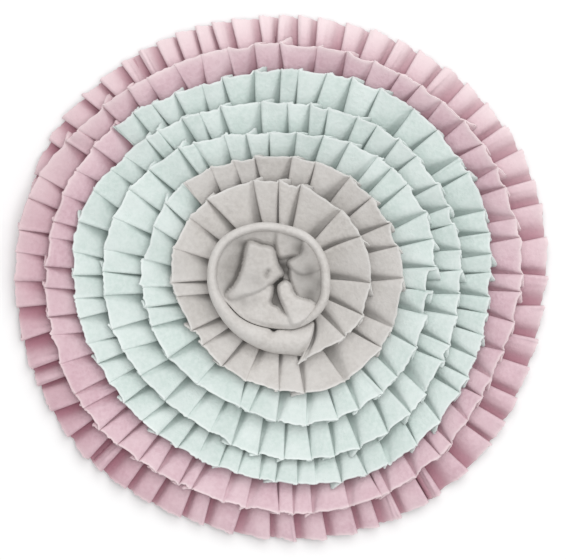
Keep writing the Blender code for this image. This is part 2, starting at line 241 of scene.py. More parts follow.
@dataclass
class Spiral:
    """Where the strip runs: its edge, root, collar and the floor of its pleats at every turn."""

    cloth: float = 2.0
    centre: Point = (1.22, -2.18)
    overlap: float = 10.0
    collar_clearance: float = 5.0
    collar_ends: float = 376.0
    turn_rise: float = 8.6
    least_run: float = 6.0
    root_height: float = 5.2
    droop_starts: float = 286.0
    droop_length: float = 34.0
    droop_shoulder: float = 11.3
    droop_edge: float = 3.2
    collar_foot_height: float = 4.7
    wall_out: float = 0.62
    wall_up: float = 0.48
    roll_depth: float = 4.2
    rim_drop: float = 0.7
    lip_drop: float = 0.8
    lip_part: float = 0.8
    roll_spread: float = 4.0
    band_rise: float = 3.8
    ring_rise: float = 1.2
    roll_deepens: float = 0.25
    end_spread: float = 0.4
    top_spread: float = 0.4
    top_rise: float = 0.8
    tucked_out: float = 0.5
    ring_tuck: float = 1.2
    soft_tuck: float = 0.8
    band_tuck: float = 3.5
    band_widens: Ease = Ease(7.8, 4)
    lip_spreads: Ease = Ease(290, 60)
    end_spreads: Ease = Ease(350, 20)
    ring_softens: Ease = Ease(20, 40)
    turns: list[float] = field(init=False)
    edge: Curve = field(init=False)
    foot: Curve = field(init=False)
    height: Curve = field(init=False)
    roll: Curve = field(init=False)
    droops: Ease = field(init=False)

    def __post_init__(self) -> None:
        """Work out the turn of every row and the curves through them."""
        rows = COLLAR + GREY + MINT + PINK + (STRIP_END,)
        self.turns = [0.0]
        for before, row in zip(rows, rows[1:]):
            self.turns.append(self.turns[-1] + (before.heading - row.heading) % 360)
        collar_turns = self.turns[: len(COLLAR)]
        self.edge = Curve(self.turns, [row[1] for row in rows])
        self.foot = Curve(collar_turns, [row.foot for row in COLLAR])
        self.height = Curve(collar_turns, [row.height for row in COLLAR])
        self.roll = Curve(collar_turns, [row.roll for row in COLLAR])
        droop_turn = self.turns[-1] - 360 - (self.droop_starts - STRIP_END.heading)
        self.droops = Ease(droop_turn, self.droop_length)

    def place(self, turn: float, radius: float, z: float) -> Vector:
        """A point of the mat, in metres.

        Args:
            turn: the turn along the strip.
            radius: the distance from the mat's middle, in millimetres.
            z: the height, in millimetres.

        Returns:
            The point.
        """
        heading = math.radians(COLLAR[0].heading - turn)
        x = radius * math.sin(heading) + self.centre[0]
        y = radius * math.cos(heading) + self.centre[1]
        return Vector((x, y, z)) * MM

    def width(self, turn: float) -> float:
        """How far the frill reaches out from its root.

        Args:
            turn: the turn along the strip.

        Returns:
            The width in millimetres.
        """
        inner_turn = turn - 360
        root = self.edge.at(inner_turn) - self.overlap
        if inner_turn < self.collar_ends:
            root = max(root, self.foot.at(inner_turn) + self.collar_clearance)
        return self.edge.at(turn) - root

    def frill(self, turn: float, part: float) -> Vector:
        """The floor of the pleats.

        Args:
            turn: the turn along the strip.
            part: the part of the width, from 0 at the root to 1 at the edge.

        Returns:
            The radius and height there.
        """
        width = self.width(turn)
        root = self.edge.at(turn) - width
        rise = self.turn_rise * width / max(self.least_run, width - self.overlap)
        lying = self.root_height * (1 - part) ** 2
        lying += 2 * self.droop_shoulder * part * (1 - part)
        lying += self.droop_edge * part * part
        z = blend(self.root_height + rise * part, lying, self.droops.at(turn))
        return Vector((root + width * part, z))

    def collar_point(self, turn: float, part: float) -> Vector:
        """A point of the collar's inner face, from its foot up the wall and over the folded rim.

        Args:
            turn: the turn along the strip.
            part: the part of the width, from the foot to the free edge that is turned under.

        Returns:
            The radius and height there.
        """
        rim = self.edge.at(turn) - self.cloth
        foot = self.foot.at(turn)
        top = self.height.at(turn) - self.cloth
        roll = self.roll.at(turn) - 2 * self.cloth
        depth = self.roll_depth + self.roll_deepens * roll
        wide = self.band_widens.at(self.roll.at(turn))
        soft = (1 - wide) * self.ring_softens.at(turn)
        spreads = self.lip_spreads.at(turn) + self.end_spread * self.end_spreads.at(turn)
        spread = self.roll_spread * spreads
        raised = self.band_rise * wide + self.ring_rise * soft
        lip = Vector((rim - roll, top - depth * self.lip_drop)) + Vector((-spread, raised))
        tucked = blend(self.ring_tuck - self.soft_tuck * soft, self.band_tuck, wide)
        line = [
            Vector((foot, self.collar_foot_height)),
            Vector((blend(foot, rim, self.wall_out), blend(self.collar_foot_height, top, self.wall_up))),
            Vector((rim, top - depth * self.rim_drop)),
            Vector((rim - roll * 0.5, top)) + Vector((-self.top_spread * spread, self.top_rise * wide)),
            lip,
            lip + Vector((self.tucked_out, -tucked)),
        ]
        return smooth_line(line, part)


SPIRAL = Spiral()


class PathPoint(NamedTuple):
    """One point of a pleat's path, run counterclockwise from its crease.

    Along the strip it lies at these shares of the pitch, shoulder, tuck and fold radius added up, and
    above the floor at these shares of the pleat's height and fold radius. show is 1 on the facet.
    """

    pitch: float
    shoulder: float
    tuck: float
    curl: float
    height: float
    lift: float
    show: float


PLEAT_PATH = rows_of(
    PathPoint,
    (0, 0, 0, 0.0, 1.0, 0.0, 0.3), (0, 0, 0, 0.75, 1.0, -0.35, 0),
    (0, 0, 0, 1.0, 1.0, -1.0, 0), (0, 0, 0, 0.75, 1.0, -1.65, 0),
    (0, 0, 0, 0.0, 1.0, -2.0, 0), (0, 0, -0.35, 0.0, 0.65, -0.6, 0),
    (0, 0, -0.7, 0.0, 0.3, 0.8, 0), (0, 0, -1.0, 0.0, 0.0, 2.0, 0),
    (0, 0, -1.0, -0.9, 0.0, 1.0, 0), (0, 0, -1.0, 0.0, 0.0, 0.0, 0),
    (0, 0, -0.5, 0.0, 0.0, 0.0, 0), (0, 0, 0, 0.5, 0.0, 0.0, 0),
    (0, 0.16, 0, 0.9, 0.02, 0.0, 0.1), (0, 0.36, 0, 1.0, 0.11, 0.0, 0.2),
    (0, 0.54, 0, 1.0, 0.33, 0.0, 0.4), (0, 0.7, 0, 0.9, 0.6, 0.0, 0.65),
    (0.02, 0.84, 0, 0.8, 0.79, 0.0, 0.85), (0.08, 0.94, 0, 0.5, 0.89, 0.0, 1),
    (0.22, 0.78, 0, 0.35, 0.94, 0.0, 1), (0.37, 0.63, 0, 0.3, 0.97, 0.0, 1),
    (0.52, 0.48, 0, 0.25, 0.985, 0.0, 1), (0.67, 0.33, 0, 0.2, 1.0, 0.0, 1),
    (0.81, 0.19, 0, 0.1, 1.0, 0.0, 0.85), (0.93, 0.07, 0, 0.0, 1.0, 0.0, 0.5),
)
UNDER_THE_FOLD = 6  # the step of a pleat's path at which a strip that starts under a fold begins


class Column(NamedTuple):
    """A line across a strip: its points, and the shade painted on each, from 0 to 1, deepest in the grooves.
    """

    points: list[Vector]
    hollow: list[float]


class Pleat(NamedTuple):
    """One pleat: the turns of its creases, and how it differs from its neighbours."""

    start: float
    end: float
    lift: float
    lean: float
    lean_before: float
    groove: float
    tip: float
    curl: float
    puff: float
    hollow: float
    tilt: float
    peek: float
    opened: float
    short: float = 0.0


class OddPleat(NamedTuple):
    """A pleat that stands out: the turn it lies at, its groove, how short it is and how far it peeks."""

    turn: float
    groove: float
    short: float
    peek: float


ODD_PLEATS = rows_of(
    OddPleat,
    (738, 1.5, 0.0, 0.0), (970, 1.6, -2.5, 0.0), (1145, 1.6, 3.5, 1.0),
    (1155, 0.5, 5.0, -1.0), (1470, 1.4, 0.0, 3.0), (1480, 1.7, 2.0, 1.5),
    (1818, 1.6, -1.5, 3.0),
)


PLEAT_RANGES = {
    "groove": (0.65, 1.6),
    "tip": (0.0, 1.9),
    "curl": (0.0, 1.0),
    "puff": (-1.4, 0.9),
    "hollow": (-0.4, 1.3),
    "tilt": (-2.3, 1.6),
    "peek": (-2.5, 3.6),
}
NEVER = 1e9


def strays(rng: random.Random, most: float) -> float:
    """A number drawn evenly, at most this far from 0."""
    return rng.uniform(-most, most)


def cloth_grid(bm: bmesh.types.BMesh, long: int, wide: int) -> list[tuple[bmesh.types.BMVert, int, int]]:
    """Add a flat grid of cloth.

    Args:
        bm: the bmesh it is added to.
        long: its number of squares one way.
        wide: its number of squares the other way.

    Returns:
        Each new vertex, with its place on the grid.
    """
    made = bmesh.ops.create_grid(bm, x_segments=long, y_segments=wide, size=1.0)["verts"]
    return [(vert, round((vert.co.x + 1) / 2 * long), round((vert.co.y + 1) / 2 * wide)) for vert in made]


@dataclass
class PleatedStrip:
    """A fleece strip that is knife pleated along the spiral."""

    name: str
    node: str
    slot: str
    stations: int = 12
    root_pleat: float = 3.8
    edge_pleat: float = 6.5
    full_pleat_width: float = 18.0
    narrowest: float = 0.7
    tuck: float = 6.5
    most_tuck: float = 0.36
    fold_radius: float = 1.15
    fold_root: float = 0.85
    fold_loose: float = 1.1
    thickness: float = 1.05
    rim_depth: float = 1.3
    sag: float = 1.6
    pressed: float = 0.5
    groove_root: float = 0.6
    groove_edge: float = 0.1
    loose_groove: Point = (0.58, 0.48)
    most_groove: float = 0.8
    most_opened: float = 0.88
    opens_across: Ease = Ease(0.1, 0.8)
    loosens: Ease = Ease(NEVER, 30)
    lean_by: float = 1.6
    lean_root: float = 0.15
    creases_stray: Point = (0.14, 0.18)
    lifts: float = 0.5
    leans: Point = (0.10, 0.09)
    opens: Point = (-0.3, 0.95)
    opens_north: float = 0.4
    curl_widens: float = 0.3
    curl_lifts: float = 0.4
    flattening: float = 0.8
    loose_crease: Point = (-1.0, -0.5)
    loose_facet: Point = (0.3, 0.8)
    uneven: tuple[float, float, float] = (70, 320, 800)
    wander: float = 0.5
    fraying: float = 0.9
    ripple: Point = (0.9, 0.25)
    ripple_root: float = 0.3
    painted_pleat_shade: float = 0.045
    deepest: float = 1.15
    deepens: Point = (1.4, 1.1)
    edge_hollow: Point = (0.2, 0.7)
    pales: Ease = Ease(150, 40)
    rim_pale: float = 0.34
    hem_pale: float = 0.2
    outer_painted_light: Point = (0.3, 0.42)
    lit: float = 0.4
    lit_east: float = 0.3
    painted_side_shade: Point = (0.28, 0.1)
    length: float = 0.0
    depth: float = 0.0

    def place(self, turn: float, section: Vector, across: float) -> Vector:
        """The cloth's point, with the small unevenness of real cloth.

        Args:
            turn: the turn along the strip.
            section: radius and height of the cloth's middle.
            across: the part of the width, from root to edge.

        Returns:
            The point, in metres.
        """
        point = SPIRAL.place(turn, section.x, section.y)
        soft, fine, frayed = (noise.noise(point * scale) for scale in self.uneven)
        wander = self.wander * (soft + fine) * across**3
        fray = self.fraying * frayed * across**20
        ripple = (self.ripple[0] * soft + self.ripple[1] * fine) * blend(self.ripple_root, 1.0, across)
        return SPIRAL.place(turn, section.x + wander + fray, section.y + ripple)

    def pleat_point(self, pleat: Pleat, step: PathPoint, across: float) -> Vector:
        """A point of a pleat.

        Args:
            pleat: the pleat.
            step: the point of its path.
            across: the part of the width, from root to edge.

        Returns:
            The point, in metres.
        """
        turn = pleat.start
        floor = SPIRAL.frill(blend(pleat.start, pleat.end, step.pitch), across)
        pitch = math.radians(pleat.end - pleat.start) * floor.x
        scale = min(1.0, SPIRAL.width(turn) / self.full_pleat_width)
        loose = self.loosens.at(turn)
        opening = self.opening(pleat, across)
        height = blend(self.root_pleat, self.edge_pleat, across) * max(self.narrowest, scale)
        height += pleat.lift * across
        fold_edge = blend(self.fold_root, self.fold_loose, loose) + self.curl_widens * pleat.curl
        fold = self.fold_radius * blend(self.fold_root, fold_edge, across)
        fold *= 1 - self.flattening * opening
        narrowing = blend(self.groove_root, self.groove_edge, across)
        groove = blend(narrowing, blend(*self.loose_groove, across), loose)
        shoulder = min(self.most_groove, groove * pleat.groove) * pitch
        tuck = min(self.tuck, self.most_tuck * pitch) * (1 - opening)
        along = step.pitch * pitch + step.shoulder * shoulder + step.tuck * tuck + step.curl * fold
        level = self.level(pleat, step, across)
        up = level * height + step.lift * fold - SPIRAL.cloth / 2
        up -= self.sag * (1 - level) * math.sin(math.pi * across)
        share = min(1.0, max(0.0, along / pitch))
        bow = math.sin(math.pi * share)
        facing = step.pitch + step.shoulder > 0
        hem = (1 - step.show) * pleat.tip * (1 - opening) - self.rim_depth * pleat.hollow * bow * step.show
        hem -= step.tuck * pleat.peek * (1 - opening) + (pleat.short if facing else 0.0)
        falling = share if facing else step.height
        crease = self.loose_crease[0] + self.loose_crease[1] * pleat.curl
        facet = self.loose_facet[0] + self.loose_facet[1] * pleat.tip
        out = blend(hem, blend(crease, facet, falling), loose)
        up += (pleat.puff * bow * step.show + (1 - step.show) * self.curl_lifts * pleat.curl) * across**3
        up += pleat.tilt * (share - 0.5) * step.show * across
        radius = floor.x + out * across * across
        lean = blend(pleat.lean_before, pleat.lean, share) * self.lean_by
        at = turn + math.degrees(along / radius) + lean * (across - self.lean_root)
        return self.place(at, Vector((radius, SPIRAL.frill(at, across).y + up)), across)

    def pleats(self, rows: tuple[Reach, ...], turns: list[float], rng: random.Random) -> list[Pleat]:
        """The strip's pleats in order, with creases where the solid has them.

        Args:
            rows: the reaches of this strip.
            turns: the turn of each reach, and of the strip's end.
            rng: the number source that all the strips share.

        Returns:
            The pleats.
        """
        own = random.Random(round(turns[0]))
        opens = random.Random(round(turns[0]) + 1)
        found = []
        before = turns[0]
        lean_before = 0.0
        for row, start, end in zip(rows, turns, turns[1:]):
            pitch = (end - start) / row.folds
            for fold in range(1, row.folds + 1):
                crease = start + fold * pitch
                if fold < row.folds:
                    strayed = strays(rng, self.creases_stray[0]) + strays(own, self.creases_stray[1])
                    crease += pitch * strayed
                lift = strays(rng, self.lifts)
                lean = (crease - before) * (strays(rng, self.leans[0]) + strays(own, self.leans[1]))
                side = math.sin(math.radians(before - COLLAR[0].heading))
                opened = opens.uniform(*self.opens) + self.opens_north * side
                opened *= 1 - self.loosens.at(before)
                drawn = {name: own.uniform(*limits) for name, limits in PLEAT_RANGES.items()}
                drawn["peek"] = max(0.0, drawn["peek"])
                drawn["opened"] = min(self.most_opened, max(0.0, opened))
                pleat = Pleat(before, crease, lift, lean, lean_before, **drawn)
                for odd in ODD_PLEATS:
                    if before < odd.turn <= crease:
                        pleat = pleat._replace(groove=odd.groove, short=odd.short, peek=odd.peek)
                found.append(pleat)
                before = crease
                lean_before = lean
        return found

    def opening(self, pleat: Pleat, across: float) -> float:
        """How far the pleat has opened out flat towards its edge, from 0 to 1."""
        return pleat.opened * self.opens_across.at(across)

    def level(self, pleat: Pleat, step: PathPoint, across: float) -> float:
        """How high a point of a pleat lies: the groove is shallower at the edge.

        Args:
            pleat: the pleat.
            step: the point of its path.
            across: the part of the width, from root to edge.

        Returns:
            The share of the pleat's height.
        """
        pressed = self.pressed * (1 - self.loosens.at(pleat.start))
        raised = max(self.opening(pleat, across), pressed * across**1.5 * (1 + step.tuck))
        return step.height + raised * (1 - step.height)

    def hollow(self, pleat: Pleat, step: PathPoint, across: float) -> float:
        """How much painted shade a point of a pleat gets: more the deeper in the groove it lies, plus a
        painted shade of each pleat's own on its top.

        Args:
            pleat: the pleat.
            step: the point of its path.
            across: the part of the width, from root to edge.

        Returns:
            The share, from 0 to 1.
        """
        loose = self.loosens.at(pleat.start)
        low = 1 - self.level(pleat, step, across)
        # Painted shade, deepest in the groove and lighter towards the rim.
        deep = blend(smooth_step(self.deepest * low) ** self.deepens[0], low ** self.deepens[1], loose)
        # Painted shade of each pleat's own on its top, which changes with its puff.
        nap = self.painted_pleat_shade * (pleat.puff - PLEAT_RANGES["puff"][0]) * step.show
        return min(1.0, deep * blend(1.0, blend(*self.edge_hollow, loose), across) + nap)

    def pleat_columns(self, pleats: list[Pleat]) -> list[Column]:
        """The lines across the strip, from its root to its edge, starting under the fold before.

        Args:
            pleats: the strip's pleats.

        Returns:
            The columns in order.
        """
        last = pleats[-1]
        closing = last._replace(start=last.end, end=2 * last.end - last.start)
        steps = [(pleat, step) for pleat in pleats for step in PLEAT_PATH] + [(closing, PLEAT_PATH[0])]
        shares = [i / self.stations for i in range(self.stations + 1)]
        return [
            Column(
                [self.pleat_point(pleat, step, share) for share in shares],
                [self.hollow(pleat, step, share) for share in shares],
            )
            for pleat, step in steps[UNDER_THE_FOLD:]
        ]

    def runs(self, pleats: list[Pleat]) -> list[list[Column]]:
        """The strip's lengths of cloth, each as its columns."""
        return [self.pleat_columns(pleats)]

    def shades(self, point: Vector, across: float, hollow: float) -> Point:
        """How pale a point of the cloth is, and how much painted shade it gets: the cut rim is paler, and
        the outer turn is painted paler towards its top side, gets less painted shade in its grooves on its
        top and right sides, and gets painted shade on its left and right sides.

        Args:
            point: the point, in metres.
            across: the part of the width, from root to edge.
            hollow: the painted shade it gets from its groove.

        Returns:
            The two shares, from 0 to 1.
        """
        off = point.xy / MM - Vector(SPIRAL.centre)
        outer = self.pales.at(off.length)
        off.normalize()
        rim = self.rim_pale * across**14 + self.hem_pale * outer * across**5
        # Painted light: the outer turn is paler the nearer it lies to the top side.
        pale = max(0.0, self.outer_painted_light[0] + self.outer_painted_light[1] * off.y) * outer + rim
        # Painted light: its grooves get less painted shade on its top and right sides.
        kept = 1 - self.lit * max(0.0, self.lit_east * off.x + off.y) * outer
        # Painted shade on the outer turn's left and right sides, most on the left.
        painted_side_dark = blend(*self.painted_side_shade, smooth_step(off.x + 0.5)) * abs(off.x) * outer
        return pale, min(1.0, hollow * kept + painted_side_dark)

    def lay(self, bm: bmesh.types.BMesh, columns: list[Column]) -> None:
        """Lay a flat grid on one length of the strip.

        Args:
            bm: the bmesh it is added to.
            columns: the lines across it.
        """
        long = len(columns) - 1
        grid = cloth_grid(bm, long, self.stations)
        uv = bm.loops.layers.uv["cloth"]
        depth = bm.verts.layers.float["hollow"]
        pale = bm.verts.layers.float["pale"]
        run = [0.0]
        width = []
        for before, column in zip(columns[:1] + columns, columns):
            run.append(run[-1] + (column.points[-1] - before.points[-1]).length)
            width.append(sum((b - a).length for a, b in zip(column.points, column.points[1:])))
        cells = {}
        for vert, i, j in grid:
            across = j / self.stations
            cells[vert] = (run[i + 1], width[i] * (1 - across))
            vert.co = columns[i].points[j]
            vert[pale], vert[depth] = self.shades(vert.co, across, columns[i].hollow[j])
            for edge in vert.link_edges:
                edge.smooth = not edge.is_boundary
        for vert, cell in cells.items():
            for loop in vert.link_loops:
                loop.face.smooth = True
                loop[uv].uv = cell
        self.length += run[-1]
        self.depth = max(self.depth, sum(width) / len(width))

    def build(self, pleats: list[Pleat]) -> bpy.types.Object:
        """Lay the strip and give it the cloth's thickness.

        Args:
            pleats: the strip's pleats.

        Returns:
            The strip's object.
        """
        bm = bmesh.new()
        bm.loops.layers.uv.new("cloth")
        bm.verts.layers.float.new("hollow")
        bm.verts.layers.float.new("pale")
        for columns in self.runs(pleats):
            self.lay(bm, columns)
        obj = link_mesh(self.name, bm)
        thicken(obj, self.thickness, 0.0)
        return obj

    def declare(self, obj: bpy.types.Object) -> None:
        """Ride the strip on the root body and hide the CAD part it replaces.

        Args:
            obj: its object.
        """
        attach(obj, "root")
        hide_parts(self.node)


@dataclass
class CollaredStrip(PleatedStrip):
    """The first strip, which starts as the smooth standing collar with its rolled rim."""

    stations: int = 18
    collar_step: float = 3.0
    collar_end: float = 373.5
    end_steps: tuple[float, ...] = (14, 12, 10, 8, 6.5, 5, 3.5, 2.4, 1.5, 0.8, 0.3, 0.0)
    end_lean: float = 1.3
    end_drop: float = 3.6
    end_fall: Point = (2.4, 14.0)
    lean_centre: float = 44.0
    closes: Ease = Ease(345, 28)
    outer_band: Ease = Ease(45, 5)
    sink: float = 5.0
    surfaces: Ease = Ease(0, 34)
    nick_turn: float = 334.2
    nick_width: float = 3.4
    nick_depth: float = 2.1
    nick_pull: Point = (1.0, -0.9)
    near: float = 0.01
    calm: float = 0.3
    nick_across: Ease = Ease(0.58, 0.2)
    first_pleat: float = 382.0
    first_lean: float = -18.0
    first_groove: float = 0.85

    def collar_columns(self) -> list[Column]:
        """Run the collar, whose end is turned down over the first pleat.

        Returns:
            The lines across it in order.
        """
        ends = [self.collar_end - back for back in self.end_steps]
        steps = round(ends[0] / self.collar_step)
        turns = [ends[0] * step / steps for step in range(steps)] + ends
        found = []
        for turn in turns:
            points = []
            closing = self.closes.at(turn)
            nick = self.nick_depth * math.exp(-(((turn - self.nick_turn) / self.nick_width) ** 2))
            for i in range(self.stations + 1):
                share = i / self.stations
                section = SPIRAL.collar_point(turn, share)
                ahead = SPIRAL.collar_point(turn, min(1.0, share + self.near))
                behind = SPIRAL.collar_point(turn, max(0.0, share - self.near))
                along = (ahead - behind).normalized()
                sunk = self.sink * (1 - self.surfaces.at(turn)) * min(1.0, 2 * share)
                fall = blend(*self.end_fall, self.outer_band.at(section.x))
                down = self.end_drop * smooth_step((turn - self.collar_end + fall) / fall)
                pulled = nick * self.nick_across.at(share)
                outward = Vector((along.y, -along.x)) * (SPIRAL.cloth / 2)
                lifted = section + outward - Vector((0.0, sunk + down))
                lifted += Vector(self.nick_pull) * pulled
                leaned = turn + closing * self.end_lean * (self.lean_centre - section.x)
                points.append(self.place(leaned, lifted, self.calm * share))
            found.append(Column(points, [0.0] * len(points)))
        return found

    def runs(self, pleats: list[Pleat]) -> list[list[Column]]:
        """The collar, and the pleats that start under its end."""
        first = pleats[0]._replace(
            start=self.first_pleat, lean_before=self.first_lean, groove=self.first_groove
        )
        return [self.collar_columns(), self.pleat_columns([first] + pleats[1:])]


@dataclass(frozen=True)
class HeartFold:
    """One soft fold of the heart: its outline on the plan, its height, the shade painted on it and its top's
    slope.
    """

    height: float
    shade: float
    east: float
    north: float
    round_over: float
    outline: tuple[Point, ...]


HEART_FOLDS = {
    "left": HeartFold(
        36, 0.16, 0.02, 0.05, 3.4,
        (
            (-24, 26), (-14, 24), (-5.5, 21.5), (-2, 11), (2, 3), (-3, -2),
            (-12.5, -9.5), (-23.5, -13.5), (-36, -17), (-40, -12), (-32, -2), (-27.5, 12),
        ),
    ),
    "back": HeartFold(
        26, 0.5, 0.0, -0.05, 4.0,
        ((-30, 32), (-6, 42), (-2, 30), (-4, 18), (-22, 18)),
    ),
    "upper": HeartFold(
        31.0, 0.38, -0.2, -0.08, 3.0,
        ((-4, 36), (10, 36), (22, 28), (18, 16), (6.7, 14.5), (0, 13.5), (-3.6, 18)),
    ),
    "right": HeartFold(
        33.5, 0.4, -0.16, 0.08, 2.8,
        (
            (3.8, 11), (12.5, 17.5), (15.5, 27), (27, 30), (36, 11), (29, 4),
            (17, 0.7), (9.5, 3),
        ),
    ),
    "lower_right": HeartFold(
        29.4, 0.42, -0.08, 0.16, 3.0,
        ((5.2, 6), (14, 10), (40, 10), (40, -14), (16, -16), (8, -9)),
    ),
    "finger": HeartFold(
        34.0, 0.0, -0.08, 0.12, 3.0,
        (
            (-2.4, -4.5), (2.6, -1.5), (7, -4), (11, -12), (24, -17), (26, -28),
            (9, -36), (3.3, -26), (-1, -16), (-3, -9),
        ),
    ),
    "under": HeartFold(
        22.5, 0.9, 0.0, -0.42, 3.0,
        ((-9, -5), (4, -5), (7, -25), (-9, -25)),
    ),
    "front": HeartFold(
        29.5, 0.0, 0.03, 0.16, 3.4,
        (
            (-5.6, -5.5), (-5.6, -12), (-6.6, -17.5), (-1.5, -20.5), (3.5, -25), (22, -33),
            (14, -44), (-5, -46), (-28, -40), (-44, -24), (-38, -10), (-20, -4),
            (-10, 1),
        ),
    ),
}


class Dimple(NamedTuple):
    """A hollow pressed into the heart's cloth, and the shade painted round it; some press no hollow and only
    paint shade.
    """

    x: float
    y: float
    depth: float
    radius: float
    shade: float


DIMPLES = (
    Dimple(-9.2, 5.0, 3.4, 1.5, 0.15),
    Dimple(-10.4, 2.8, 3.4, 1.5, 0.15),
    Dimple(-11.0, 0.6, 2.4, 1.5, 0.1),
    Dimple(-26.0, -2.5, 1.6, 5.5, 0.08),
    Dimple(-18.0, -3.0, 1.6, 5.0, 0.14),
    Dimple(-26.5, -18.6, 1.2, 4.4, 0.3),
    Dimple(-19.0, -16.2, 0.8, 3.6, 0.22),
    Dimple(-28.5, 24.5, 0.8, 3.6, 0.4),
    Dimple(13.0, 20.5, 0.0, 5.0, 0.5),
    Dimple(20.5, 5.5, 0.4, 4.2, 0.3),
    Dimple(11.5, 2.4, 0.0, 3.2, 0.2),
    Dimple(16.0, 0.6, 0.0, 3.4, 0.24),
    Dimple(21.0, 1.2, 0.0, 3.4, 0.24),
    Dimple(20.5, -11.0, 0.0, 4.6, 0.34),
    Dimple(26.5, -3.5, 0.0, 4.6, 0.3),
    Dimple(-4.2, -16.5, 0.0, 3.0, 0.5),
    Dimple(1.4, 8.5, 2.0, 3.4, 0.7),
    Dimple(3.4, 3.6, 1.5, 2.4, 0.6),
)


